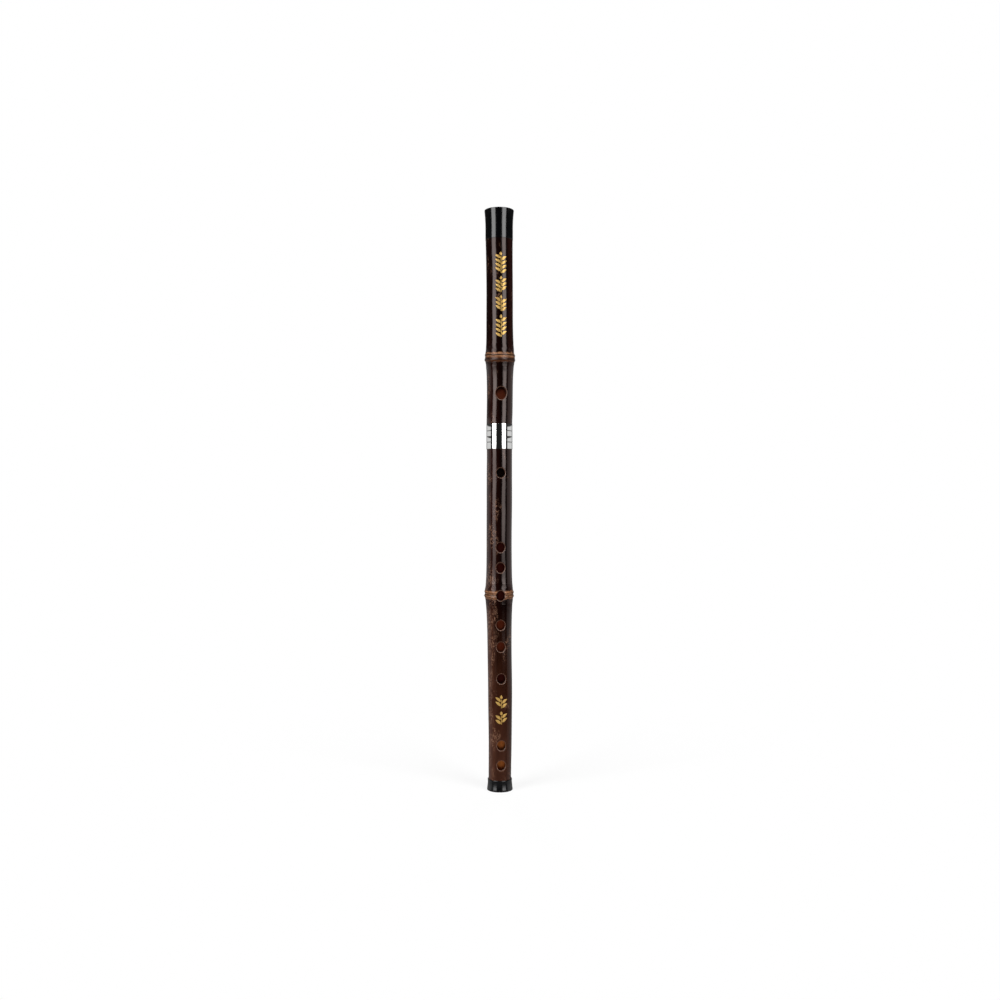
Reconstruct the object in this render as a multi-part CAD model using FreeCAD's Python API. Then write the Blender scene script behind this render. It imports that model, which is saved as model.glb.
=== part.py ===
# Two-piece bamboo transverse flute (dizi) with a metal tuning joint.
#
# Frame: millimetres. The flute's axis is Z, with the open tail end at Z = 0 and the head end up.
# The mouth hole, membrane hole and finger holes face -Y. The two tassel holes are at the back, facing +Y.
# "Wall" always means from the body joint's bore to the outside, so the outside follows the bore.

import FreeCAD
import Part
import math
import os

V = FreeCAD.Vector

# ---------------------------------------------------------------- driving dimensions

body_joint_length = 313.4
head_joint_length = 201.6
bore_diameter = 15.0

# The head joint and its tenon are bored this much further out than the body joint
head_bore_step = 0.1

# Bamboo walls of the body joint
body_wall_at_tail = 2.45
body_wall_below_node = 3.3
body_wall_above_node = 3.75

# Bamboo walls of the head joint
head_wall_below_node = 3.95
head_wall_above_node = 4.15
head_wall_at_cap = 4.6

# Bamboo nodes: two ridges with a groove between, and the culm swelling towards them from both sides.
# The place is the groove's: above the tail end on the body joint, above the parting line on the head joint.
body_node = {
    "place": 174.1,
    "low_ridge": 2.1,
    "high_ridge": 1.4,
    "ridge_foot": 1.8,
    "low_ridge_wall": 5.65,
    "groove_wall": 5.05,
    "high_ridge_wall": 5.45,
    "low_swell": 1.5,
    "low_reach": 11.5,
    "high_swell": 1.22,
    "high_reach": 7.0,
}
head_node = {
    "place": 70.6,
    "low_ridge": 2.7,
    "high_ridge": 1.6,
    "ridge_foot": 1.8,
    "low_ridge_wall": 6.25,
    "groove_wall": 5.8,
    "high_ridge_wall": 6.0,
    "low_swell": 1.5,
    "low_reach": 9.5,
    "high_swell": 1.25,
    "high_reach": 12.0,
}

# Metal tuning joint: a thin tenon tube in the head joint slides in a thin socket tube in the body joint.
ferrule_height = 11.1
ferrule_sheet = 0.8
ferrule_proud = 0.2
ferrule_edge = 0.3
ferrule_groove_place = 5.0
ferrule_groove_width = 0.7
ferrule_groove_depth = 0.25
tenon_sheet = 0.5
socket_sheet = 0.5
tenon_clearance = 0.03
tenon_cement_gap = 0.03
tenon_end_gap = 0.8
tenon_to_mouth_hole = 2.0
socket_to_membrane_hole = 3.1

# Tail cap: a black ring cupped over the tail end
tail_cap_height = 9.8
tail_cap_sheet = 1.6
tail_cap_end_thickness = 1.5
tail_cap_lip = 0.15
tail_cap_lip_height = 1.4
tail_cap_flare = 0.75
tail_cap_edge = 0.4
tail_seat_depth = 0.9

# Head cap: a closed black cap, flared towards the head end
head_cap_height = 27.2
head_cap_proud = 0.17
head_cap_seat_depth = 1.1
head_cap_flare = 0.93
head_cap_flare_length = 18.0
head_cap_end_thickness = 3.0
head_cap_dome = 0.6
head_cap_edge = 0.6

# Cork stopper in the bore above the mouth hole
cork_above_mouth_hole = 9.6
cork_length = 13.0
cork_chamfer = 0.8

# Mouth hole, above the parting line; membrane hole, below it
mouth_hole_place = 37.7
mouth_hole_width = 9.7
mouth_hole_length = 11.3
membrane_hole_place = 32.45
membrane_hole_width = 7.8
membrane_hole_length = 8.7

# Finger holes, above the tail end
finger_hole_places = [99.6, 127.6, 146.9, 172.9, 197.4, 215.3]
finger_hole_width = 7.7
finger_hole_length = 9.0

# Vent holes on the front and tassel holes on the back, above the tail end
front_vent_places = [23.2, 40.8]
tassel_hole_places = [57.0, 69.0]
vent_hole_width = 7.6
vent_hole_length = 8.8
tassel_hole_diameter = 6.4

# Gold-filled engraving: leaf sprays, placed above the parting line on the head joint
# and above the tail end on the body joint
engraving_depth = 0.3
gold_below_surface = 0.05
head_spray_places = [96.9, 116.7, 133.4, 152.3]
head_spray_heights = [20.0, 14.0, 14.0, 19.0]
head_spray_pairs = [4, 3, 3, 4]
head_spray_width = 10.0
tail_spray_places = [65.4, 79.7]
tail_spray_height = 11.5
tail_spray_pairs = 2
tail_spray_width = 10.5
spray_stem_width = 0.6
leaf_slenderness = 0.42
leaf_gap = 0.35
leaf_rise = 38.0
leaf_stagger = 0.2

# ---------------------------------------------------------------- sizes that follow

total_length = body_joint_length + head_joint_length
parting = body_joint_length
bore = bore_diameter / 2
head_bore = bore + head_bore_step

tenon_outer = head_bore + tenon_sheet
socket_inner = tenon_outer + tenon_clearance
socket_outer = socket_inner + socket_sheet
tenon_seat = tenon_outer + tenon_cement_gap

mouth_hole_height = parting + mouth_hole_place
membrane_hole_height = parting - membrane_hole_place
tenon_top = mouth_hole_height - mouth_hole_length / 2 - tenon_to_mouth_hole
socket_bottom = membrane_hole_height + membrane_hole_length / 2 + socket_to_membrane_hole
tenon_bottom = socket_bottom + tenon_end_gap

ferrule_radius = bore + max(body_wall_above_node, head_wall_below_node) + ferrule_proud
ferrule_seat = ferrule_radius - ferrule_sheet

tail_seat = bore + body_wall_at_tail - tail_seat_depth
tail_cap_radius = tail_seat + tail_cap_sheet
head_cap_seat = bore + head_wall_at_cap - head_cap_seat_depth
head_cap_radius = bore + head_wall_at_cap + head_cap_proud
head_cap_bottom = total_length - head_cap_height
head_bamboo_top = total_length - head_cap_end_thickness

# ---------------------------------------------------------------- drawing helpers: (radius, height) points


def at(radius, height):
    return V(radius, 0, height)


def line(start, end):
    return Part.LineSegment(at(*start), at(*end)).toShape()


def lines(points):
    return [line(start, end) for start, end in zip(points, points[1:])]


def arc(start, middle, end):
    return Part.Arc(at(*start), at(*middle), at(*end)).toShape()


def curve(points):
    spline = Part.BSplineCurve()
    spline.interpolate([at(*point) for point in points])
    return spline.toShape()


def turned(edges):
    """A solid of revolution about the flute's axis from the edges of a closed outline."""
    wire = Part.Wire(Part.__sortEdges__(edges))
    return Part.Face(wire).revolve(V(0, 0, 0), V(0, 0, 1), 360)


def save(name, shape):
    solids = shape.Solids
    result = solids[0] if len(solids) == 1 else Part.makeCompound(solids)
    result.exportStep("parts/" + name + ".step")
    print(name, len(solids), "solid(s)", round(result.Volume, 2), "mm3, valid:", result.isValid())


# ---------------------------------------------------------------- bamboo

stretch_steps = 8


def stretch_radius(distance, length, node_wall, far_wall, swell, reach):
    """Outer radius at a distance from a node's foot: a gentle taper, plus the swelling that dies away."""
    taper = (far_wall - node_wall) * (distance / length) ** 2
    return bore + node_wall + taper + swell * math.exp(-distance / reach)


def stretch(foot, far_end, node_wall, far_wall, swell, reach):
    """Points of the outside from a node's foot to the culm's far end, closer together near the node."""
    length = abs(far_end - foot)
    direction = 1 if far_end > foot else -1
    points = []
    for step in range(stretch_steps + 1):
        distance = length * (step / stretch_steps) ** 2
        radius = stretch_radius(distance, length, node_wall, far_wall, swell, reach)
        points.append((radius, foot + direction * distance))
    return points


def bamboo_side(node, place, low_end, high_end, low_walls, high_walls):
    """Outside of a culm from low_end to high_end with one node. Returns its edges and its two end points.

    low_walls and high_walls give the wall at the node and at the far end, below and above the node.
    """
    low_ridge = place - node["low_ridge"]
    high_ridge = place + node["high_ridge"]
    low_foot = low_ridge - node["ridge_foot"]
    high_foot = high_ridge + node["ridge_foot"]
    below = stretch(low_foot, low_end, *low_walls, node["low_swell"], node["low_reach"])
    above = stretch(high_foot, high_end, *high_walls, node["high_swell"], node["high_reach"])
    groove = (bore + node["groove_wall"], place)
    edges = [
        curve(below),
        arc(below[0], (bore + node["low_ridge_wall"], low_ridge), groove),
        arc(groove, (bore + node["high_ridge_wall"], high_ridge), above[0]),
        curve(above),
    ]
    return edges, below[-1], above[-1]


body_place = body_node["place"]
body_side, body_low_corner, body_high_corner = bamboo_side(
    body_node,
    body_place,
    tail_cap_height,
    parting - ferrule_height,
    (body_wall_below_node, body_wall_at_tail),
    (body_wall_above_node, body_wall_above_node),
)
head_place = parting + head_node["place"]
head_side, head_low_corner, head_high_corner = bamboo_side(
    head_node,
    head_place,
    parting + ferrule_height,
    head_cap_bottom,
    (head_wall_below_node, head_wall_below_node),
    (head_wall_above_node, head_wall_at_cap),
)


def body_bamboo():
    ends_and_bore = [
        body_high_corner,
        (ferrule_seat, parting - ferrule_height),
        (ferrule_seat, parting - ferrule_sheet),
        (socket_outer, parting - ferrule_sheet),
        (socket_outer, socket_bottom),
        (bore, socket_bottom),
        (bore, tail_cap_end_thickness),
        (tail_seat, tail_cap_end_thickness),
        (tail_seat, tail_cap_height),
        body_low_corner,
    ]
    return turned(body_side + lines(ends_and_bore))


def head_bamboo():
    ends_and_bore = [
        head_high_corner,
        (head_cap_seat, head_cap_bottom),
        (head_cap_seat, head_bamboo_top),
        (head_bore, head_bamboo_top),
        (head_bore, tenon_top),
        (tenon_seat, tenon_top),
        (tenon_seat, parting + ferrule_sheet),
        (ferrule_seat, parting + ferrule_sheet),
        (ferrule_seat, parting + ferrule_height),
        head_low_corner,
    ]
    return turned(head_side + lines(ends_and_bore))


def hole(height, width, length, front=True):
    """An oval prism from the flute's axis out through one wall, long side along the flute."""
    side = -1 if front else 1
    if length > width:
        oval = Part.Ellipse(V(0, 0, height + length / 2), V(width / 2, 0, height), V(0, 0, height))
    else:
        oval = Part.Circle(V(0, 0, height), V(0, 1, 0), width / 2)
    face = Part.Face(Part.Wire(oval.toShape()))
    return face.extrude(V(0, side * 2 * ferrule_radius, 0))


def body_holes():
    tools = [hole(place, finger_hole_width, finger_hole_length) for place in finger_hole_places]
    tools += [hole(place, vent_hole_width, vent_hole_length) for place in front_vent_places]
    round_hole = (tassel_hole_diameter, tassel_hole_diameter)
    tools += [hole(place, *round_hole, front=False) for place in tassel_hole_places]
    tools.append(hole(membrane_hole_height, membrane_hole_width, membrane_hole_length))
    return tools


# ---------------------------------------------------------------- engraving


def engraved_shell(side, low_corner, high_corner, outer_depth, inner_depth):
    """The part of the wall between two depths under the culm's outside."""

    def shifted(depth):
        moved = []
        for edge in side:
            copy = edge.copy()
            copy.translate(V(-depth, 0, 0))
            moved.append(copy)
        return moved

    def ends(corner):
        radius, height = corner
        return line((radius - outer_depth, height), (radius - inner_depth, height))

    return turned(shifted(outer_depth) + shifted(inner_depth) + [ends(low_corner), ends(high_corner)])


def leaf(root, angle, length, width):
    """A pointed leaf as a prism along -Y: two arcs that meet at its root and tip."""
    along = V(math.cos(angle), 0, math.sin(angle))
    across = V(-math.sin(angle), 0, math.cos(angle))
    tip = root + along * length
    middle = root + along * (length / 2)
    edges = [
        Part.Arc(root, middle + across * (width / 2), tip).toShape(),
        Part.Arc(tip, middle - across * (width / 2), root).toShape(),
    ]
    return Part.Face(Part.Wire(edges)).extrude(V(0, -2 * ferrule_radius, 0))


def spray(centre, height, width, pairs, lean):
    """A stem with leaves in pairs and one at its tip, as separate prisms.

    lean is 1 or -1 and says which side's leaves start higher.
    """
    bottom = centre - height / 2
    tip_leaf = height / (pairs + 1)
    stem_top = centre + height / 2 - tip_leaf
    spacing = (stem_top - bottom) / pairs
    rise = math.radians(leaf_rise)
    side_start = spray_stem_width / 2 + leaf_gap
    length = (width / 2 - side_start) / math.cos(rise)
    leaf_width = min(length * leaf_slenderness, spacing * math.cos(rise) - leaf_gap)
    corner = V(-spray_stem_width / 2, -2 * ferrule_radius, bottom)
    prisms = [
        Part.makeBox(spray_stem_width, 2 * ferrule_radius, stem_top - bottom, corner),
        leaf(V(0, 0, stem_top + leaf_gap), math.pi / 2, tip_leaf - leaf_gap, leaf_width),
    ]
    for pair in range(pairs):
        for side in (-1, 1):
            stagger = spacing * leaf_stagger * lean * side
            root = V(side * side_start, 0, bottom + spacing * (pair + 0.3) + stagger)
            angle = rise if side > 0 else math.pi - rise
            prisms.append(leaf(root, angle, length, leaf_width))
    return prisms


head_spray_sizes = zip(head_spray_places, head_spray_heights, head_spray_pairs)
head_sprays = [
    spray(parting + place, height, head_spray_width, pairs, (-1) ** number)
    for number, (place, height, pairs) in enumerate(head_spray_sizes)
]
tail_sprays = [
    spray(place, tail_spray_height, tail_spray_width, tail_spray_pairs, (-1) ** number)
    for number, place in enumerate(tail_spray_places)
]


# ---------------------------------------------------------------- turned pieces


def tube(inner, outer, low, high):
    return turned(lines([(inner, low), (outer, low), (outer, high), (inner, high), (inner, low)]))


def ferrule(direction, opening):
    """A metal cup over a bamboo end, its closed side on the parting line. direction is 1 up or -1 down."""

    def height(offset):
        return parting + direction * offset

    half_groove = ferrule_groove_width / 2
    groove_floor = ferrule_radius - ferrule_groove_depth
    outline = [
        (opening, height(0)),
        (ferrule_radius - ferrule_edge, height(0)),
        (ferrule_radius, height(ferrule_edge)),
        (ferrule_radius, height(ferrule_groove_place - half_groove)),
        (groove_floor, height(ferrule_groove_place)),
        (ferrule_radius, height(ferrule_groove_place + half_groove)),
        (ferrule_radius, height(ferrule_height)),
        (ferrule_seat, height(ferrule_height)),
        (ferrule_seat, height(ferrule_sheet)),
        (opening, height(ferrule_sheet)),
        (opening, height(0)),
    ]
    return turned(lines(outline))


def tail_cap():
    rim_radius = tail_cap_radius + tail_cap_flare
    lip_low = tail_cap_height - tail_cap_lip_height
    side_middle = (tail_cap_radius + tail_cap_flare * 0.3, lip_low * 0.55)
    edges = [
        arc((rim_radius, tail_cap_edge), side_middle, (tail_cap_radius, lip_low)),
        arc(
            (tail_cap_radius, lip_low),
            (tail_cap_radius + tail_cap_lip, tail_cap_height - tail_cap_lip_height / 2),
            (tail_cap_radius, tail_cap_height),
        ),
    ]
    inside = [
        (tail_cap_radius, tail_cap_height),
        (tail_seat, tail_cap_height),
        (tail_seat, tail_cap_end_thickness),
        (bore, tail_cap_end_thickness),
        (bore, 0),
        (rim_radius - tail_cap_edge, 0),
        (rim_radius, tail_cap_edge),
    ]
    return turned(edges + lines(inside))


def head_cap():
    rim_radius = head_cap_radius + head_cap_flare
    flare_start = total_length - head_cap_flare_length
    rim_low = total_length - head_cap_dome - head_cap_edge
    flare_middle = (head_cap_radius + head_cap_flare / 4, (flare_start + rim_low) / 2)
    shoulder = total_length - head_cap_dome
    round_middle = head_cap_edge * (1 - math.sqrt(0.5))
    rim_top = (rim_radius - head_cap_edge, shoulder)
    edges = [
        arc((head_cap_radius, flare_start), flare_middle, (rim_radius, rim_low)),
        arc((rim_radius, rim_low), (rim_radius - round_middle, shoulder - round_middle), rim_top),
        curve([rim_top, (rim_radius / 2, total_length - head_cap_dome / 4), (0, total_length)]),
    ]
    inside = [
        (0, total_length),
        (0, head_bamboo_top),
        (head_cap_seat, head_bamboo_top),
        (head_cap_seat, head_cap_bottom),
        (head_cap_radius, head_cap_bottom),
        (head_cap_radius, flare_start),
    ]
    return turned(edges + lines(inside))


def cork_stopper():
    low = mouth_hole_height + cork_above_mouth_hole
    high = low + cork_length
    outline = [
        (0, low),
        (head_bore - cork_chamfer, low),
        (head_bore, low + cork_chamfer),
        (head_bore, high - cork_chamfer),
        (head_bore - cork_chamfer, high),
        (0, high),
        (0, low),
    ]
    return turned(lines(outline))


# ---------------------------------------------------------------- the pieces


def save_engraved(name, bamboo, holes, outside, sprays):
    """Saves a bamboo tube with its holes and engraving, and each spray's gold fill as its own node."""
    skin = engraved_shell(*outside, -ferrule_proud, engraving_depth)
    fill = engraved_shell(*outside, gold_below_surface, engraving_depth)
    recesses = [prism.common(skin) for prisms in sprays for prism in prisms]
    save(name + "_tube", bamboo.cut(holes + recesses))
    for number, prisms in enumerate(sprays, 1):
        save(name + "_motif_" + str(number), Part.makeCompound([prism.common(fill) for prism in prisms]))


def make_parts():
    body_outside = (body_side, body_low_corner, body_high_corner)
    save_engraved("body", body_bamboo(), body_holes(), body_outside, tail_sprays)
    mouth_hole = hole(mouth_hole_height, mouth_hole_width, mouth_hole_length)
    head_outside = (head_side, head_low_corner, head_high_corner)
    save_engraved("head", head_bamboo(), [mouth_hole], head_outside, head_sprays)
    save("body_ferrule", ferrule(-1, socket_outer))
    save("head_ferrule", ferrule(1, tenon_seat))
    save("socket_tube", tube(socket_inner, socket_outer, socket_bottom, parting))
    save("tenon_tube", tube(head_bore, tenon_outer, tenon_bottom, tenon_top))
    save("tail_cap", tail_cap())
    save("head_cap", head_cap())
    save("cork_stopper", cork_stopper())


os.makedirs("parts", exist_ok=True)
make_parts()
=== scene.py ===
# The looks of the two-piece bamboo flute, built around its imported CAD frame.
#
# Metres, in the frame's own axes: the flute stands along Z on its open tail end, holes facing -Y.
# Sections: sizes, mesh tools, bamboo, engraving, materials, studio, assembly.

import math

import bmesh
import bpy
import numpy as np
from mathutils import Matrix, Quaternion, Vector


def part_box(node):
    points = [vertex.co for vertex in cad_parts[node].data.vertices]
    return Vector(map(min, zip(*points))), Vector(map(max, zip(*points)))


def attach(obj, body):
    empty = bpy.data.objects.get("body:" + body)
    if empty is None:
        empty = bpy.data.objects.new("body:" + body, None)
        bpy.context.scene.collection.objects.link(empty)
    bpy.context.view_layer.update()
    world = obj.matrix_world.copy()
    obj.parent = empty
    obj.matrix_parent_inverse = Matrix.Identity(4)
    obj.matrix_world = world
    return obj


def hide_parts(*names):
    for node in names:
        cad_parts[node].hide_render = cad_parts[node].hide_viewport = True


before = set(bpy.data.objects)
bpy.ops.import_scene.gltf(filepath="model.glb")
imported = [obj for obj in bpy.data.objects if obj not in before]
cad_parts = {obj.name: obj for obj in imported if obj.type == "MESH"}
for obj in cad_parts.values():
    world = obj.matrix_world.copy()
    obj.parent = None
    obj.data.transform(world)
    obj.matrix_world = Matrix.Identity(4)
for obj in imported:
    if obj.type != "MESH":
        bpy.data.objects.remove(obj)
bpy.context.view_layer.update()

MM = 0.001
FRONT = -math.pi / 2
BACK = math.pi / 2

# -------- sizes read from the frame

body_low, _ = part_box("body_tube")
_, head_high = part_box("head_tube")
head_ring_low, head_ring_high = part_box("head_ferrule")
body_ring_low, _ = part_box("body_ferrule")
_, tail_cap_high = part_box("tail_cap")
head_cap_low, head_cap_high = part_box("head_cap")
tenon_low, tenon_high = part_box("tenon_tube")
socket_low, socket_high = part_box("socket_tube")
cork_low, cork_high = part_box("cork_stopper")

total_length = head_cap_high.z
parting = head_ring_low.z
ring_radius = head_ring_high.x
head_bore = cork_high.x

# -------- sizes of the pieces

bore = 7.5 * MM
tube_sheet = 0.5 * MM
ring_sheet = 0.8 * MM
tenon_gap = 0.03 * MM

# The metal faces that meet at the parting line stand this far back from it,
# so that they can turn on each other
joint_gap = 0.03 * MM

# Bamboo walls, from the bore to the outside
body_wall_at_tail = 2.45 * MM
body_wall_below_node = 3.3 * MM
body_wall_above_node = 3.75 * MM
head_wall_below_node = 3.95 * MM
head_wall_above_node = 4.15 * MM
head_wall_at_cap = 4.6 * MM

# Bamboo nodes: two ridges with a groove between. tilt is how much lower a node's ring is at the front.
body_node = {
    "place": 174.1 * MM,
    "low_ridge": 2.1 * MM,
    "high_ridge": 1.4 * MM,
    "ridge_foot": 1.8 * MM,
    "low_ridge_wall": 5.65 * MM,
    "groove_wall": 5.05 * MM,
    "high_ridge_wall": 5.45 * MM,
    "low_swell": 1.5 * MM,
    "low_reach": 11.5 * MM,
    "high_swell": 1.22 * MM,
    "high_reach": 7.0 * MM,
    "tilt": 0.5 * MM,
}
head_node = {
    "place": parting + 70.6 * MM,
    "low_ridge": 2.7 * MM,
    "high_ridge": 1.6 * MM,
    "ridge_foot": 1.8 * MM,
    "low_ridge_wall": 6.25 * MM,
    "groove_wall": 5.8 * MM,
    "high_ridge_wall": 6.0 * MM,
    "low_swell": 1.5 * MM,
    "low_reach": 9.5 * MM,
    "high_swell": 1.25 * MM,
    "high_reach": 12.0 * MM,
    "tilt": 1.0 * MM,
}

seat_in_tail_cap = bore + 1.55 * MM
seat_in_head_cap = bore + 3.5 * MM
seat_in_ring = ring_radius - ring_sheet

finger_holes = [99.6 * MM, 127.6 * MM, 146.9 * MM, 172.9 * MM, 197.4 * MM, 215.3 * MM]
front_vents = [23.2 * MM, 40.8 * MM]
tassel_holes = [57.0 * MM, 69.0 * MM]
membrane_hole = parting - 32.45 * MM
mouth_hole = parting + 37.7 * MM

# Holes: width and length (along the flute), without the rounded rim
finger_hole_size = (7.7 * MM, 9.0 * MM)
vent_size = (7.6 * MM, 8.8 * MM)
tassel_hole_size = (6.4 * MM, 6.4 * MM)
membrane_hole_size = (7.8 * MM, 8.7 * MM)
mouth_hole_size = (9.7 * MM, 11.3 * MM)

# -------- mesh tools


def make_piece(name, vertices, faces, materials, body, stands_for):
    """A smooth-shaded object with sharp corners kept, riding on a body in place of a CAD node."""
    mesh = bpy.data.meshes.new(name)
    mesh.from_pydata([tuple(point) for point in vertices], [], faces)
    for material in materials:
        mesh.materials.append(material)
    mesh.validate()
    piece = bpy.data.objects.new(name, mesh)
    bpy.context.scene.collection.objects.link(piece)
    finish_shading(piece)
    if body:
        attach(piece, body)
        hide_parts(stands_for)
    return piece


# Corners sharper than these stay sharp: on tubes, on turned pieces and gold, and on the rings
sharp_degrees = 32
turned_degrees = 45
crisp_degrees = 15


def finish_shading(piece, degrees=sharp_degrees):
    piece.data.shade_smooth()
    piece.data.set_sharp_from_angle(angle=math.radians(degrees))


def ring_faces(rows, columns, closed_rows):
    """Quads between rings of points, each ring closed on itself.

    closed_rows joins the last ring to the first.
    """
    faces = []
    for row in range(rows if closed_rows else rows - 1):
        near = row * columns
        far = ((row + 1) % rows) * columns
        for column in range(columns):
            beside = (column + 1) % columns
            faces.append((near + column, near + beside, far + beside, far + column))
    return faces


def rounded(outline, closed=True, steps=5):
    """Rounds the corners of an outline of (radius, height, rounding) points.

    Returns (radius, height) points.
    """
    points = []
    count = len(outline)
    for index, (radius, height, rounding) in enumerate(outline):
        here = Vector((radius, height))
        at_end = not closed and index in (0, count - 1)
        if rounding == 0 or at_end:
            points.append(here)
            continue
        before = Vector(outline[index - 1][:2])
        after = Vector(outline[(index + 1) % count][:2])
        start = here + (before - here).normalized() * rounding
        end = here + (after - here).normalized() * rounding
        for step in range(steps + 1):
            t = step / steps
            points.append(start * (1 - t) ** 2 + here * (2 * t * (1 - t)) + end * t**2)
    return points


turning_steps = 192


def turned(name, outline, materials, body, stands_for, closed=True):
    """A piece turned about the flute's axis. An open outline starts and ends on the axis."""
    points = rounded(outline, closed)
    angles = np.linspace(0, 2 * math.pi, turning_steps, endpoint=False)
    rings = points if closed else points[1:-1]
    vertices = []
    for point in rings:
        for angle in angles:
            vertices.append((point[0] * math.cos(angle), point[0] * math.sin(angle), point[1]))
    faces = ring_faces(len(rings), turning_steps, closed)
    if not closed:
        first = len(vertices)
        vertices += [(0, 0, points[0][1]), (0, 0, points[-1][1])]
        last_ring = (len(rings) - 1) * turning_steps
        for step in range(turning_steps):
            beside = (step + 1) % turning_steps
            faces.append((first, beside, step))
            faces.append((first + 1, last_ring + step, last_ring + beside))
    return make_piece(name, vertices, faces, materials, body, stands_for)


def cut(piece, cutter):
    """Subtracts the cutter from the piece. The cut walls keep the cutter's material."""
    modifier = piece.modifiers.new("cut", "BOOLEAN")
    modifier.operation = "DIFFERENCE"
    modifier.solver = "EXACT"
    modifier.object = cutter
    depsgraph = bpy.context.evaluated_depsgraph_get()
    result = bpy.data.meshes.new_from_object(piece.evaluated_get(depsgraph))
    piece.modifiers.clear()
    old = piece.data
    piece.data = result
    bpy.data.meshes.remove(old)
    bpy.data.objects.remove(cutter)


# -------- bamboo


# Unevenness of a grown culm: its node's ring wanders up and down, and its skin goes in and out
node_waves = (0.25 * MM, 0.15 * MM)
ovals = (0.07 * MM, 0.04 * MM)
ridge_lump = 0.09 * MM
fine_ring = 0.07 * MM
fine_ring_pitch = 1.05 * MM

# How far the node's unevenness reaches, and how far from a tube's ends the culm becomes even
node_reach = 9 * MM
end_reach = 9 * MM


def smooth_step(value):
    value = np.clip(value, 0, 1)
    return value * value * (3 - 2 * value)


class Culm:
    """The outside of one bamboo tube, as a function of the angle round the flute and the height."""

    def __init__(self, low, high, node, low_walls, high_walls, bow, phase):
        self.low = low
        self.high = high
        self.node = node
        self.low_walls = low_walls
        self.high_walls = high_walls
        self.bow = bow
        self.phase = phase

    def stretch(self, distance, length, walls, swell, reach):
        """Radius beside the node: walls run from the node to the far end, and the swell dies away."""
        distance = np.maximum(distance, 0)
        taper = (walls[1] - walls[0]) * (distance / length) ** 2
        return bore + walls[0] + taper + swell * np.exp(-distance / reach)

    def radius(self, height):
        """Outer radius before any unevenness."""
        node = self.node
        low_ridge = node["place"] - node["low_ridge"]
        high_ridge = node["place"] + node["high_ridge"]
        low_foot = low_ridge - node["ridge_foot"]
        high_foot = high_ridge + node["ridge_foot"]
        low_shape = (self.low_walls, node["low_swell"], node["low_reach"])
        high_shape = (self.high_walls, node["high_swell"], node["high_reach"])
        low = self.stretch(low_foot - height, low_foot - self.low, *low_shape)
        high = self.stretch(height - high_foot, self.high - high_foot, *high_shape)
        corners = [
            (low_foot, bore + self.low_walls[0] + node["low_swell"]),
            (low_ridge, bore + node["low_ridge_wall"]),
            (node["place"], bore + node["groove_wall"]),
            (high_ridge, bore + node["high_ridge_wall"]),
            (high_foot, bore + self.high_walls[0] + node["high_swell"]),
        ]
        ridges = np.zeros_like(height)
        for (start, start_radius), (end, end_radius) in zip(corners, corners[1:]):
            inside = (height >= start) & (height < end)
            share = smooth_step((height - start) / (end - start))
            ridges = np.where(inside, start_radius + (end_radius - start_radius) * share, ridges)
        return np.where(height < low_foot, low, np.where(height >= high_foot, high, ridges))

    def skin(self, angle, height):
        """Points on the outside, uneven as a grown culm. This dies away at both ends of the tube."""
        angle, height = np.broadcast_arrays(np.asarray(angle, float), np.asarray(height, float))
        node = self.node
        frontness = -np.sin(angle)
        near_node = np.exp(-(((height - node["place"]) / node_reach) ** 2))
        wave = node_waves[0] * np.sin(3 * angle + self.phase)
        wave = wave + node_waves[1] * np.sin(5 * angle + 2 * self.phase)
        radius = self.radius(height + near_node * (node["tilt"] * frontness + wave))
        above_end = smooth_step((height - self.low) / end_reach)
        below_end = smooth_step((self.high - height) / end_reach)
        inner = above_end * below_end
        slow = 70.0 * height + self.phase
        oval = ovals[0] * np.cos(2 * angle + slow) + ovals[1] * np.cos(3 * angle - 1.7 * slow)
        ridge_lumps = ridge_lump * near_node * np.sin(7 * angle + 4 * self.phase + 900 * height)
        ring_turn = 2 * math.pi * height / fine_ring_pitch + np.sin(2 * angle)
        fine_rings = fine_ring * near_node * np.sin(ring_turn)
        radius = radius + inner * (oval + ridge_lumps + fine_rings)
        share = (height - self.low) / (self.high - self.low)
        bends = [size * np.sin((order + 1) * math.pi * share) for order, size in enumerate(self.bow)]
        sway = sum(bends) * inner
        x = radius * np.cos(angle) + sway
        return np.stack([x, radius * np.sin(angle), height], axis=-1)


body_culm = Culm(
    tail_cap_high.z,
    body_ring_low.z,
    body_node,
    (body_wall_below_node, body_wall_at_tail),
    (body_wall_above_node, body_wall_above_node),
    (-0.19 * MM, 0.31 * MM, 0.18 * MM),
    0.6,
)
head_culm = Culm(
    head_ring_high.z,
    head_cap_low.z,
    head_node,
    (head_wall_below_node, head_wall_below_node),
    (head_wall_above_node, head_wall_at_cap),
    (0.5 * MM, 0.1 * MM, 0.1 * MM),
    2.1,
)

around_steps = 176
coarse_step = 0.9 * MM
fine_step = 0.22 * MM

# Numbers of the materials on a bamboo tube: its skin is 0
INSIDE = 1
CUT = 2
ENGRAVED = 3
RIM = 4


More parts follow.
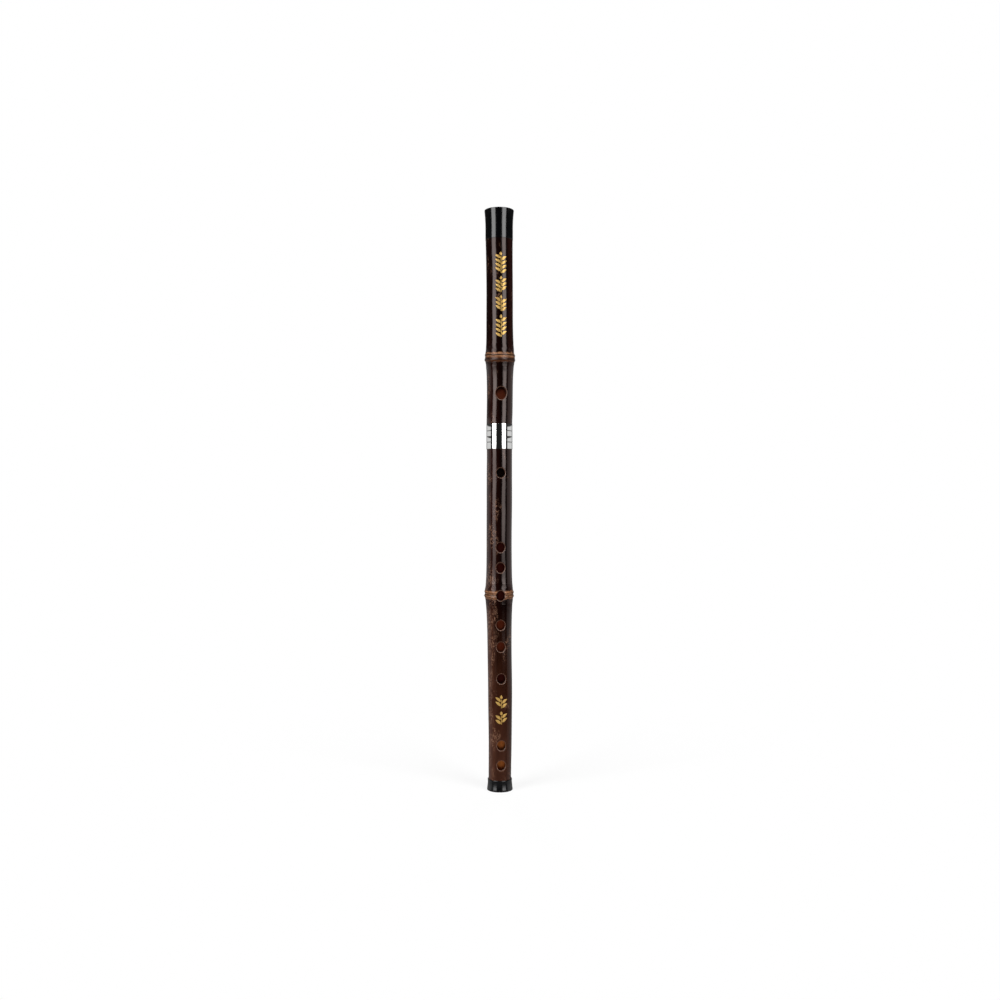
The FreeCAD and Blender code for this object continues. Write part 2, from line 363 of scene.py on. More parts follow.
def bamboo_tube(name, culm, below, above, materials):
    """A closed tube: the culm's skin, then the outlines of its upper end, bore and lower end.

    below and above are (radius, height) points of the two ends, in order going round the wall's section.
    """
    node = culm.node["place"]
    coarse = np.arange(culm.low, culm.high, coarse_step)
    coarse = coarse[np.abs(coarse - node) > node_reach]
    fine = np.arange(node - node_reach, node + node_reach, fine_step)
    heights = np.unique(np.concatenate([coarse, fine, [culm.low, culm.high]]))
    angles = np.linspace(0, 2 * math.pi, around_steps, endpoint=False)
    skin = culm.skin(angles[None, :], heights[:, None])
    ring = np.stack([np.cos(angles), np.sin(angles), np.zeros_like(angles)], axis=-1)
    rows = list(skin)
    for radius, height in above + below:
        rows.append(ring * radius + np.array([0, 0, height]))
    vertices = np.concatenate(rows)
    faces = ring_faces(len(rows), around_steps, True)
    tube = make_piece(name, vertices, faces, materials, None, None)
    skin_faces = (len(heights) - 1) * around_steps
    for polygon in tube.data.polygons[skin_faces:]:
        polygon.material_index = INSIDE
    return tube


rim_steps = 72
cutter_inside = 5.0 * MM
cutter_outside = 4 * MM

# The rounded rim of a hole: depth under the skin, and distance out from the hole's wall
rim_rows = [
    (0.45 * MM, 0.0),
    (0.29 * MM, 0.04 * MM),
    (0.15 * MM, 0.14 * MM),
    (0.05 * MM, 0.30 * MM),
    (-0.01 * MM, 0.55 * MM),
    (-0.10 * MM, 0.95 * MM),
]


def hole_cutter(name, culm, place, size, side, materials):
    """An oval plug from inside the bore out through the wall, its rim rounded where it meets the skin.

    side is -1 for a hole at the front and 1 for one at the back.
    """
    turn = np.linspace(0, 2 * math.pi, rim_steps, endpoint=False)
    middle = FRONT if side < 0 else BACK
    rows = []
    inner_x = size[0] / 2 * np.cos(turn)
    inner_z = place + size[1] / 2 * np.sin(turn)
    rows.append(np.stack([inner_x, 0 * turn + side * cutter_inside, inner_z], -1))
    for depth, grow in rim_rows:
        across = (size[0] / 2 + grow) * np.cos(turn)
        height = place + (size[1] / 2 + grow) * np.sin(turn)
        angle = middle - side * np.arcsin(across / culm.radius(height))
        on_skin = culm.skin(angle, height)
        rows.append(on_skin - np.array([0, side * depth, 0]))
    last = rows[-1].copy()
    last[:, 1] = side * (ring_radius + cutter_outside)
    rows.append(last)
    vertices = np.concatenate(rows)
    faces = ring_faces(len(rows), rim_steps, False)
    faces.append(tuple(reversed(range(rim_steps))))
    faces.append(tuple(range(len(vertices) - rim_steps, len(vertices))))
    cutter = make_piece(name, vertices, faces, materials, None, None)
    for number, polygon in enumerate(cutter.data.polygons):
        polygon.material_index = CUT if number < rim_steps else RIM
    outward(cutter.data)
    return cutter


def outward(mesh):
    """Turns a closed mesh's faces outwards."""
    work = bmesh.new()
    work.from_mesh(mesh)
    bmesh.ops.remove_doubles(work, verts=work.verts, dist=1e-7)
    bmesh.ops.recalc_face_normals(work, faces=work.faces)
    work.to_mesh(mesh)
    work.free()


# -------- engraving and its gold

engraving_depth = 0.3 * MM
gold_depth = 0.1 * MM
gold_crown = 0.07 * MM
stem_width = 0.6 * MM
leaf_gap = 0.35 * MM
leaf_rise = math.radians(38)
leaf_slenderness = 0.42
leaf_stagger = 0.2
leaf_bend = 0.06
gold_in_floor = 0.05 * MM
gold_past_edge = 0.02 * MM
engraving_above_skin = 0.4 * MM

# Leaf sprays: middle, height, width, pairs of leaves
head_sprays = [
    (parting + 96.9 * MM, 20.0 * MM, 10.0 * MM, 4),
    (parting + 116.7 * MM, 14.0 * MM, 10.0 * MM, 3),
    (parting + 133.4 * MM, 14.0 * MM, 10.0 * MM, 3),
    (parting + 152.3 * MM, 19.0 * MM, 10.0 * MM, 4),
]
tail_sprays = [
    (65.4 * MM, 11.5 * MM, 10.5 * MM, 2),
    (79.7 * MM, 11.5 * MM, 10.5 * MM, 2),
]


def spray_blades(height, width, pairs, lean):
    """Blades of one leaf spray about its own middle: (root x, root z, angle, length, width, is_stem)."""
    bottom = -height / 2
    tip_leaf = height / (pairs + 1)
    stem_top = height / 2 - tip_leaf
    spacing = (stem_top - bottom) / pairs
    side_start = stem_width / 2 + leaf_gap
    length = (width / 2 - side_start) / math.cos(leaf_rise)
    leaf_width = min(length * leaf_slenderness, spacing * math.cos(leaf_rise) - leaf_gap)
    blades = [
        (0, bottom, math.pi / 2, stem_top - bottom, stem_width, True),
        (0, stem_top + leaf_gap, math.pi / 2, tip_leaf - leaf_gap, leaf_width, False),
    ]
    for pair in range(pairs):
        for side in (-1, 1):
            root_height = bottom + spacing * (pair + 0.3 + leaf_stagger * lean * side)
            angle = leaf_rise if side > 0 else math.pi - leaf_rise
            blades.append((side * side_start, root_height, angle, length, leaf_width, False))
    return blades


blade_steps = 14
blade_columns = 6


def blade_sheet(culm, centre, blade, grow, depth_at):
    """A grid of points over one blade, at a depth under the skin that may vary across it."""
    root_x, root_z, angle, length, width, is_stem = blade
    along = np.linspace(0, 1, blade_steps + 1)
    across = np.linspace(-1, 1, blade_columns + 1)
    bend = np.zeros_like(along)
    if is_stem:
        half = np.full_like(along, width / 2)
    else:
        half = width / 2 * np.sin(math.pi * along**0.85) ** 0.9
        side = math.copysign(1, math.cos(angle) + 1e-9)
        bend = leaf_bend * length * np.sin(math.pi * along) * side
    half = half + grow
    start = -grow
    step = (length + 2 * grow) * along + start
    off = half[:, None] * across[None, :] + bend[:, None]
    x = root_x + math.cos(angle) * step[:, None] - math.sin(angle) * off
    z = centre + root_z + math.sin(angle) * step[:, None] + math.cos(angle) * off
    turn = FRONT + np.arcsin(x / culm.radius(z))
    on_skin = culm.skin(turn, z)
    normal = np.stack([np.cos(turn), np.sin(turn), 0 * turn], axis=-1)
    return on_skin - normal * depth_at(along[:, None], across[None, :])[..., None]


def blade_solid(culm, centre, blade, grow, top_depth, floor_depth, start):
    """Vertices and faces of one blade between two depths. start is the number of its first vertex."""
    top = blade_sheet(culm, centre, blade, grow, top_depth).reshape(-1, 3)
    floor = blade_sheet(culm, centre, blade, grow, floor_depth).reshape(-1, 3)
    columns = blade_columns + 1
    count = len(top)
    faces = []
    for row in range(blade_steps):
        for column in range(blade_columns):
            a = start + row * columns + column
            quad = (a, a + 1, a + columns + 1, a + columns)
            faces.append(quad)
            faces.append(tuple(reversed([corner + count for corner in quad])))
    rim = list(range(columns))
    rim += [row * columns + blade_columns for row in range(1, blade_steps + 1)]
    rim += [blade_steps * columns + column for column in range(blade_columns - 1, -1, -1)]
    rim += [row * columns for row in range(blade_steps - 1, 0, -1)]
    for here, beside in zip(rim, rim[1:] + rim[:1]):
        faces.append((start + here, start + here + count, start + beside + count, start + beside))
    return np.concatenate([top, floor]), faces


def level(depth):
    return lambda along, across: depth + 0 * along * across


def crowned(depth, crown):
    return lambda along, across: depth - crown * (1 - across**2) * (0.4 + 0.6 * np.sin(math.pi * along))


def blades_mesh(name, culm, sprays, grow, top, floor, materials, material_index):
    """One mesh with every blade of the given sprays. sprays: (number, centre, height, width, pairs)."""
    vertices = []
    faces = []
    count = 0
    for number, centre, height, width, pairs in sprays:
        for blade in spray_blades(height, width, pairs, (-1) ** number):
            points, quads = blade_solid(culm, centre, blade, grow, top, floor, count)
            vertices.append(points)
            faces += quads
            count += len(points)
    piece = make_piece(name, np.concatenate(vertices), faces, materials, None, None)
    for polygon in piece.data.polygons:
        polygon.material_index = material_index
    outward(piece.data)
    return piece


def gold_spray(name, culm, number, spray, material, body, stands_for):
    top = crowned(gold_depth, gold_crown)
    floor = level(engraving_depth + gold_in_floor)
    piece = blades_mesh(name, culm, [(number, *spray)], gold_past_edge, top, floor, [material], 0)
    finish_shading(piece, turned_degrees)
    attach(piece, body)
    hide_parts(stands_for)
    return piece


# -------- materials


class Shader:
    """A material being wired up. Sockets and plain numbers can be mixed freely as inputs."""

    def __init__(self, name):
        self.material = bpy.data.materials.new(name)
        self.material.use_nodes = True
        self.tree = self.material.node_tree
        self.surface = self.tree.nodes["Principled BSDF"]
        coordinates = self.tree.nodes.new("ShaderNodeTexCoord")
        self.place = coordinates.outputs["Object"]

    def feed(self, socket, value):
        if isinstance(value, bpy.types.NodeSocket):
            self.tree.links.new(value, socket)
        else:
            socket.default_value = value

    def math(self, operation, first, second=0.0, clamp=False):
        node = self.tree.nodes.new("ShaderNodeMath")
        node.operation = operation
        node.use_clamp = clamp
        self.feed(node.inputs[0], first)
        self.feed(node.inputs[1], second)
        return node.outputs[0]

    def axis(self, letter):
        node = self.tree.nodes.new("ShaderNodeSeparateXYZ")
        self.feed(node.inputs[0], self.place)
        return node.outputs[letter]

    def noise(self, scale, detail=2.0, roughness=0.5, distortion=0.0, shift=(0, 0, 0)):
        """Noise between 0 and 1. scale is (x, y, z) in cycles per metre."""
        mapping = self.tree.nodes.new("ShaderNodeMapping")
        mapping.inputs["Scale"].default_value = scale
        mapping.inputs["Location"].default_value = shift
        self.feed(mapping.inputs["Vector"], self.place)
        node = self.tree.nodes.new("ShaderNodeTexNoise")
        self.feed(node.inputs["Vector"], mapping.outputs[0])
        node.inputs["Scale"].default_value = 1.0
        node.inputs["Detail"].default_value = detail
        node.inputs["Roughness"].default_value = roughness
        node.inputs["Distortion"].default_value = distortion
        return node.outputs["Fac"]

    def between(self, value, low, high):
        """0 below low, 1 above high, smooth between them."""
        node = self.tree.nodes.new("ShaderNodeMapRange")
        node.interpolation_type = "SMOOTHSTEP"
        self.feed(node.inputs["Value"], value)
        node.inputs["From Min"].default_value = low
        node.inputs["From Max"].default_value = high
        return node.outputs["Result"]

    def ramp(self, value, stops):
        """A colour that runs through (value, colour) stops."""
        low = stops[0][0]
        high = stops[-1][0]
        share = self.math("DIVIDE", self.math("SUBTRACT", value, low), high - low, clamp=True)
        node = self.tree.nodes.new("ShaderNodeValToRGB")
        self.feed(node.inputs[0], share)
        points = node.color_ramp.elements
        while len(points) > 1:
            points.remove(points[-1])
        for index, (place, colour) in enumerate(stops):
            point = points[0] if index == 0 else points.new(1.0)
            point.position = (place - low) / (high - low)
            point.color = (*colour, 1.0)
        return node.outputs[0]

    def spread(self, value, low, high):
        """Maps 0..1 to low..high."""
        node = self.tree.nodes.new("ShaderNodeMapRange")
        self.feed(node.inputs["Value"], value)
        node.inputs["To Min"].default_value = low
        node.inputs["To Max"].default_value = high
        return node.outputs["Result"]

    def mix(self, share, first, second):
        """A colour between first and second. Plain colours are (r, g, b)."""
        node = self.tree.nodes.new("ShaderNodeMix")
        node.data_type = "RGBA"
        self.feed(node.inputs["Factor"], share)
        for name, value in (("A", first), ("B", second)):
            socket = [s for s in node.inputs if s.name == name and s.type == "RGBA"][0]
            self.feed(socket, (*value, 1.0) if isinstance(value, tuple) else value)
        return [s for s in node.outputs if s.type == "RGBA"][0]

    def bump(self, height, strength, distance):
        node = self.tree.nodes.new("ShaderNodeBump")
        node.inputs["Strength"].default_value = strength
        node.inputs["Distance"].default_value = distance
        self.feed(node.inputs["Height"], height)
        self.tree.links.new(node.outputs[0], self.surface.inputs["Normal"])

    def set(self, **inputs):
        for name, value in inputs.items():
            socket = self.surface.inputs[name.replace("_", " ")]
            self.feed(socket, (*value, 1.0) if isinstance(value, tuple) else value)


# Radius at which a node's tilt is given
node_radius = 13 * MM


def lacquered_bamboo(name, node, scar_stops):
    """Dark lacquer over mottled bamboo, browner towards the tail, with bare scars at the node and painted
    sheen on its sides.

    scar_stops are (distance above the node, colour) pairs of the rings at the node.
    """
    shader = Shader(name)
    x = shader.axis("X")
    y = shader.axis("Y")
    z = shader.axis("Z")
    fibres = shader.noise((2600, 2600, 45), 3.0, 0.6)
    patches = shader.noise((210, 210, 55), 3.0, 0.6, 0.6)
    clouds = shader.noise((90, 90, 22), 2.0, 0.5, 0.4, (3, 1, 2))
    towards_tail = shader.between(z, 0.175, 0.035)
    lower_part = shader.between(z, 0.17, 0.15)
    # Painted sheen: masks by x pick the sides of the tube, which are painted lighter.
    left_sheen_side = shader.between(x, 0.001, -0.010)

    dark = shader.mix(patches, (0.0003, 0.0001, 0.0001), (0.0028, 0.0005, 0.0003))
    red = shader.mix(patches, (0.0040, 0.0006, 0.0004), (0.0260, 0.0055, 0.0034))
    deep_red = shader.mix(patches, (0.0008, 0.0001, 0.0001), (0.0085, 0.0013, 0.0006))
    # The left side's painted sheen turns to darker red up the head.
    red = shader.mix(shader.between(z, 0.33, 0.42), red, deep_red)
    plum = shader.mix(shader.between(clouds, 0.42, 0.68), dark, (0.0026, 0.0006, 0.0005))
    # Painted sheen: the right side of the upper part is painted lighter.
    plum = shader.mix(shader.between(x, 0.004, 0.010), plum, (0.0150, 0.0036, 0.0026))
    # Painted sheen: the left side of the upper part is painted red.
    upper = shader.mix(left_sheen_side, plum, red)
    middle = shader.mix(patches, (0.0008, 0.0002, 0.0001), (0.0080, 0.0018, 0.0009))
    lower = shader.mix(patches, (0.0090, 0.0020, 0.0008), (0.0440, 0.0140, 0.0068))
    lower = shader.mix(towards_tail, middle, lower)
    # Painted sheen: the left side of the lower part is painted lighter brown.
    left = shader.mix(patches, (0.0220, 0.0060, 0.0032), (0.0860, 0.0310, 0.0175))
    lower = shader.mix(shader.between(x, -0.003, -0.0105), lower, left)
    ground = shader.mix(lower_part, upper, lower)
    streaks = shader.between(fibres, 0.42, 0.74)
    light_streak = shader.mix(towards_tail, (0.0060, 0.0018, 0.0010), (0.0420, 0.0150, 0.0080))
    ground = shader.mix(shader.math("MULTIPLY", streaks, 0.4), ground, light_streak)

    squiggle = shader.math("SUBTRACT", shader.noise((260, 260, 170), 3.0, 0.6, 1.2), 0.5)
    squiggle = shader.math("ABSOLUTE", squiggle)
    thin_line = shader.between(squiggle, 0.024, 0.008)
    dots = shader.between(shader.noise((760, 760, 330), 2.0, 0.5, 0.0, (7, 2, 5)), 0.60, 0.67)
    below_head = shader.between(z, 0.37, 0.33)
    below_node = shader.math("MULTIPLY", lower_part, shader.between(z, 0.09, 0.13))
    # More pale flecks on the left below the head, where the sheen is painted, and just below the body's
    # node.
    lean = shader.math("MULTIPLY", shader.math("MULTIPLY", left_sheen_side, below_head), 0.15)
    lean = shader.math("ADD", lean, shader.math("MULTIPLY", below_node, 0.07))
    speckled = shader.between(shader.math("ADD", shader.noise((110, 110, 42), 2.0), lean), 0.60, 0.70)
    flecks = shader.math("MULTIPLY", shader.math("MAXIMUM", thin_line, dots), speckled)
    tints = shader.noise((300, 300, 200), 2.0)
    fleck_colour = shader.mix(tints, (0.030, 0.009, 0.004), (0.330, 0.180, 0.115))
    ground = shader.mix(shader.math("MULTIPLY", flecks, 0.8), ground, fleck_colour)

    tilted = shader.math("ADD", z, shader.math("MULTIPLY", y, -node["tilt"] / node_radius))
    above_node = shader.math("SUBTRACT", tilted, node["place"])
    wander = shader.math("SUBTRACT", shader.noise((160, 160, 60), 2.0), 0.5)
    above_node = shader.math("ADD", above_node, shader.math("MULTIPLY", wander, 0.8 * MM))
    rings = shader.ramp(above_node, scar_stops)
    worn = shader.noise((330, 330, 700), 3.0, 0.6)
    scar = shader.mix(shader.between(worn, 0.26, 0.56), (0.040, 0.014, 0.006), rings)
    ragged = shader.math("SUBTRACT", shader.noise((420, 420, 160), 2.0), 0.5)
    ragged = shader.math("MULTIPLY", ragged, 3.0 * MM)
    ringed = shader.math("ADD", above_node, ragged)
    lowest = scar_stops[0][0]
    highest = scar_stops[-1][0]
    rises = shader.between(ringed, lowest - 0.5 * MM, lowest + 0.5 * MM)
    falls = shader.between(ringed, highest + 0.7 * MM, highest - 0.7 * MM)
    band = shader.math("MULTIPLY", rises, falls)
    ground = shader.mix(shader.math("MULTIPLY", band, 0.96), ground, scar)

    rough = shader.spread(shader.between(patches, 0.35, 0.65), 0.08, 0.15)
    rough = shader.math("ADD", rough, shader.math("MULTIPLY", band, 0.2))
    shader.set(Base_Color=ground, Roughness=rough)
    shader.set(Specular_IOR_Level=0.36, Specular_Tint=(1.0, 0.83, 0.78))
    relief = shader.math("MULTIPLY", fibres, 0.35)
    relief = shader.math("ADD", relief, shader.math("MULTIPLY", patches, 0.65))
    shader.bump(relief, 0.22, 0.3 * MM)
    return shader.material


def cut_bamboo():
    """Walls of the holes: bare bamboo darkened by the lacquer, with its fibres showing."""
    shader = Shader("cut_bamboo")
    fibres = shader.noise((1500, 1500, 120), 3.0, 0.6)
    stain = shader.noise((350, 350, 350), 2.0)
    bare = shader.mix(fibres, (0.030, 0.011, 0.006), (0.120, 0.050, 0.024))
    shader.set(Base_Color=shader.mix(shader.between(stain, 0.40, 0.70), (0.020, 0.006, 0.003), bare))
    shader.set(Roughness=shader.spread(fibres, 0.38, 0.6))
    shader.bump(fibres, 0.4, 0.1 * MM)
    return shader.material


def lacquered_rim():
    """The rounded rims of the holes: lighter bamboo under thin lacquer."""
    shader = Shader("lacquered_rim")
    fibres = shader.noise((1500, 1500, 150), 3.0, 0.6)
    shader.set(Base_Color=shader.mix(fibres, (0.020, 0.008, 0.005), (0.170, 0.090, 0.062)))
    shader.set(Roughness=shader.spread(fibres, 0.12, 0.24))
    shader.bump(fibres, 0.3, 0.1 * MM)
    return shader.material


def bore_lacquer():
    """The inside of the bamboo: dark red lacquer with the culm's grain.

    Near the tail, painted light makes it orange, as if lit through the open tail and the back holes. It is
    almost black below the tuning joint and brown in the head.
    """
    shader = Shader("bore_lacquer")
    fibres = shader.noise((900, 900, 40), 3.0, 0.6)
    z = shader.axis("Z")
    towards_tail = shader.between(z, 0.085, 0.045)
    in_head = shader.between(z, parting - 10 * MM, parting + 10 * MM)
    grain = shader.mix(0.5, fibres, shader.noise((700, 700, 500), 2.0))
    black_red = shader.mix(grain, (0.001, 0.0003, 0.0001), (0.012, 0.004, 0.002))
    dark_red = shader.mix(grain, (0.012, 0.001, 0.001), (0.090, 0.014, 0.009))
    dark_red = shader.mix(shader.between(z, 0.235, 0.255), dark_red, black_red)
    brown_red = shader.mix(grain, (0.060, 0.008, 0.003), (0.230, 0.045, 0.018))
    brown = shader.mix(grain, (0.050, 0.009, 0.003), (0.270, 0.060, 0.026))
    # Painted light: the bore near the tail is orange, as if lit through the open tail and the back holes.
    orange = shader.mix(grain, (0.130, 0.028, 0.004), (0.680, 0.230, 0.060))
    body = shader.mix(shader.between(z, 0.160, 0.153), dark_red, brown_red)
    body = shader.mix(shader.between(z, 0.118, 0.108), body, dark_red)
    shader.set(Base_Color=shader.mix(in_head, shader.mix(towards_tail, body, orange), brown))
    shader.set(Roughness=shader.spread(fibres, 0.35, 0.55))
    shader.bump(fibres, 0.3, 0.1 * MM)
    return shader.material


def engraved_bamboo():
    """The dark floor and walls of the engraving, seen only as a thin edge round the gold."""
    shader = Shader("engraved_bamboo")
    grain = shader.noise((1800, 1800, 300), 2.0)
    shader.set(Base_Color=shader.mix(grain, (0.02, 0.008, 0.004), (0.09, 0.04, 0.015)), Roughness=0.6)
    return shader.material


def gold_paint():
    """Hand-laid gold paint: warm, slightly uneven and thin in places."""
    shader = Shader("gold_paint")
    strokes = shader.noise((1100, 1100, 900), 3.0, 0.6)
    thin = shader.between(shader.noise((500, 500, 500), 2.0), 0.58, 0.75)
    gold = shader.mix(strokes, (0.34, 0.18, 0.035), (0.66, 0.44, 0.13))
    shader.set(Base_Color=shader.mix(shader.math("MULTIPLY", thin, 0.6), gold, (0.18, 0.08, 0.02)))
    shader.set(Metallic=0.55, Roughness=shader.spread(strokes, 0.32, 0.5))
    shader.bump(strokes, 0.35, 0.08 * MM)
    return shader.material


def nickel_silver():
    """Polished white metal with faint lengthwise rubbing marks and a few spots."""
    shader = Shader("nickel_silver")
    rubbing = shader.noise((2200, 2200, 160), 3.0, 0.6)
    spots = shader.noise((700, 700, 500), 3.0, 0.6)
    shader.set(Base_Color=shader.mix(spots, (0.80, 0.80, 0.79), (0.93, 0.93, 0.92)), Metallic=1.0)
    shader.set(Roughness=shader.spread(spots, 0.02, 0.05))
    relief = shader.math("ADD", shader.math("MULTIPLY", rubbing, 0.4), shader.math("MULTIPLY", spots, 0.6))
    shader.bump(relief, 0.05, 0.015 * MM)
    return shader.material


def black_cap():
    """Polished black cap with faint turning marks."""
    shader = Shader("black_cap")
    marks = shader.noise((60, 60, 1800), 2.0, 0.5)
    haze = shader.noise((160, 160, 160), 2.0)
    shader.set(Base_Color=shader.mix(haze, (0.0004, 0.0004, 0.0005), (0.0014, 0.0015, 0.0020)))
    shader.set(Roughness=shader.spread(haze, 0.10, 0.17))
    shader.bump(marks, 0.05, 0.05 * MM)
    return shader.material


def cork():
    """Cork with dark pores."""
    shader = Shader("cork")
    grain = shader.noise((900, 900, 900), 4.0, 0.7)
    pores = shader.between(shader.noise((1400, 1400, 700), 2.0), 0.62, 0.7)
    solid = shader.mix(grain, (0.33, 0.19, 0.09), (0.62, 0.42, 0.24))
    shader.set(Base_Color=shader.mix(pores, solid, (0.10, 0.05, 0.025)))
    shader.set(Roughness=shader.spread(grain, 0.75, 0.95))
    shader.bump(grain, 0.5, 0.3 * MM)
    return shader.material


light_scar = (0.240, 0.112, 0.052)
middle_scar = (0.100, 0.034, 0.013)
dark_scar = (0.016, 0.005, 0.002)

# Rings of bare bamboo at the nodes, and one painted ridge highlight under the head's node: distance above
# the node, colour
head_scar = [
    (-4.6 * MM, dark_scar),
    # Painted ridge highlight on the lower slope of the head node's lower ridge
    (-3.6 * MM, middle_scar),
    (-2.8 * MM, dark_scar),
    (-1.2 * MM, dark_scar),
    (-0.5 * MM, middle_scar),
    (0.3 * MM, light_scar),
    (0.9 * MM, light_scar),
    (1.5 * MM, dark_scar),
    (2.1 * MM, dark_scar),
    (2.7 * MM, light_scar),
    (3.8 * MM, light_scar),
]
body_scar = [
    (-4.2 * MM, middle_scar),
    (-3.3 * MM, light_scar),
    (-2.5 * MM, middle_scar),
    (-1.5 * MM, light_scar),
    (-0.6 * MM, dark_scar),
    (0.4 * MM, light_scar),
    (1.4 * MM, middle_scar),
    (2.3 * MM, light_scar),
    (3.4 * MM, middle_scar),
]

# -------- studio

camera_azimuth = math.radians(-6.5)
camera_distance = 0.94
camera_height = 0.2571
camera_roll = 0.00125
millimetres_per_frame = 889.3
sensor_width = 36.0
camera_shift = 0.0005
nearest_seen = 0.05


def make_camera():
    camera = bpy.data.objects.new("camera", bpy.data.cameras.new("camera"))
    bpy.context.scene.collection.objects.link(camera)
    camera.data.sensor_width = sensor_width
    camera.data.lens = sensor_width * camera_distance / (millimetres_per_frame * MM)
    camera.data.shift_x = camera_shift
    camera.data.clip_start = nearest_seen
    towards = Vector((math.sin(camera_azimuth), -math.cos(camera_azimuth), 0))
    camera.location = towards * camera_distance + Vector((0, 0, camera_height))
    level_view = (-towards).to_track_quat("-Z", "Y")
    camera.rotation_euler = (level_view @ Quaternion((0, 0, 1), -camera_roll)).to_euler()
    bpy.context.scene.camera = camera


# The studio round the flute: degrees from the camera's side (left negative), share of full light.
# Tall lights stand to either side of the camera, and two weak ones far behind the flute.
light_angles = [
    (-180, 0.0),
    (-172, 0.0),
    (-171, 0.15),
    (-159, 0.15),
    (-158, 0.0),
    (-64, 0.0),
    (-62, 1.0),
    (-32, 1.0),
    (-30, 0.0),
    (24, 0.0),
    (26, 1.0),
    (55, 1.0),
    (57, 0.0),
    (158, 0.0),
    (159, 0.15),
    (171, 0.15),
    (172, 0.0),
    (180, 0.0),
]
# White boards stand at the sides. The room behind the camera and behind the flute is dark.
board_angles = [
    (-180, 0.15),
    (-146, 0.15),
    (-136, 1.0),
    (-84, 1.0),
    (-79, 0.0),
    (72, 0.0),
    (77, 1.0),
    (136, 1.0),
    (146, 0.15),
    (180, 0.15),
]
light_strength = 5.8
board_strength = 0.66
dark_room = 0.015
fill_strength = 1.0
fill_spread = math.radians(12)

# How the lights and boards end, by how far a direction rises: where each change starts and ends,
# and the share of light below or above it
light_foot = (-0.125, -0.095)
light_below_foot = 0.035
light_middle = (-0.10, 0.06)
light_below_middle = 0.15
board_top = (0.088, 0.108)
board_above_top = 0.04
board_foot = (-0.22, -0.10)
board_below_foot = 0.4


def make_room():
    """The surroundings the flute mirrors, as a world that the camera itself sees as plain white."""
    world = bpy.data.worlds.new("studio")
    bpy.context.scene.world = world
    world.use_nodes = True
    tree = world.node_tree
    tree.nodes.clear()

    def feed(socket, value):
        if isinstance(value, bpy.types.NodeSocket):
            tree.links.new(value, socket)
        else:
            socket.default_value = value

    def calculate(operation, first, second):
        node = tree.nodes.new("ShaderNodeMath")
        node.operation = operation
        feed(node.inputs[0], first)
        feed(node.inputs[1], second)
        return node.outputs[0]

    def fade(value, low, high, to_low, to_high, kind="SMOOTHSTEP"):
        node = tree.nodes.new("ShaderNodeMapRange")
        node.interpolation_type = kind
        for socket, number in zip(node.inputs, (value, low, high, to_low, to_high)):
            feed(socket, number)
        return node.outputs["Result"]

    def around(turn, stops):
        node = tree.nodes.new("ShaderNodeValToRGB")
        feed(node.inputs[0], turn)
        points = node.color_ramp.elements
        while len(points) > 1:
            points.remove(points[-1])
        for index, (degrees, share) in enumerate(stops):
            point = points[0] if index == 0 else points.new(1.0)
            point.position = degrees / 360 + 0.5
            point.color = (share, share, share, 1.0)
        return node.outputs[0]

    split = tree.nodes.new("ShaderNodeSeparateXYZ")
    feed(split.inputs[0], tree.nodes.new("ShaderNodeTexCoord").outputs["Generated"])
    x, y, z = split.outputs
    cosine = math.cos(camera_azimuth)
    sine = math.sin(camera_azimuth)
    towards = calculate("SUBTRACT", calculate("MULTIPLY", x, sine), calculate("MULTIPLY", y, cosine))
    rightwards = calculate("ADD", calculate("MULTIPLY", x, cosine), calculate("MULTIPLY", y, sine))
    angle = calculate("ARCTAN2", rightwards, towards)
    turn = calculate("ADD", calculate("DIVIDE", angle, 2 * math.pi), 0.5)

    lights = calculate("MULTIPLY", around(turn, light_angles), light_strength)
    lights = calculate("MULTIPLY", lights, fade(z, *light_foot, light_below_foot, 1.0))
    lights = calculate("MULTIPLY", lights, fade(z, *light_middle, light_below_middle, 1.0, "LINEAR"))
    boards = calculate("MULTIPLY", around(turn, board_angles), board_strength)
    boards = calculate("MULTIPLY", boards, fade(z, *board_top, 1.0, board_above_top))
    boards = calculate("MULTIPLY", boards, fade(z, *board_foot, board_below_foot, 1.0))
    mirrored = calculate("ADD", calculate("ADD", lights, boards), dark_room)
    seen = fade(tree.nodes.new("ShaderNodeLightPath").outputs["Is Camera Ray"], 0.0, 1.0, mirrored, 1.0)
    background = tree.nodes.new("ShaderNodeBackground")
    background.inputs["Color"].default_value = (1, 1, 1, 1)
    feed(background.inputs["Strength"], seen)
    output = tree.nodes.new("ShaderNodeOutputWorld")
    feed(output.inputs[0], background.outputs[0])


def make_fill():
    """A weak light from the camera's side that reaches into the holes. Mirrors don't show it."""
    fill = bpy.data.objects.new("fill", bpy.data.lights.new("fill", "SUN"))
    bpy.context.scene.collection.objects.link(fill)
    fill.data.energy = fill_strength
    fill.data.angle = fill_spread
    towards = Vector((math.sin(camera_azimuth), -math.cos(camera_azimuth), 0.06))
    fill.rotation_euler = towards.to_track_quat("Z", "Y").to_euler()
    fill.visible_glossy = False


floor_radius = 0.45
floor_cover = 0.15
floor_steps = 96
floor_gap = 0.02 * MM


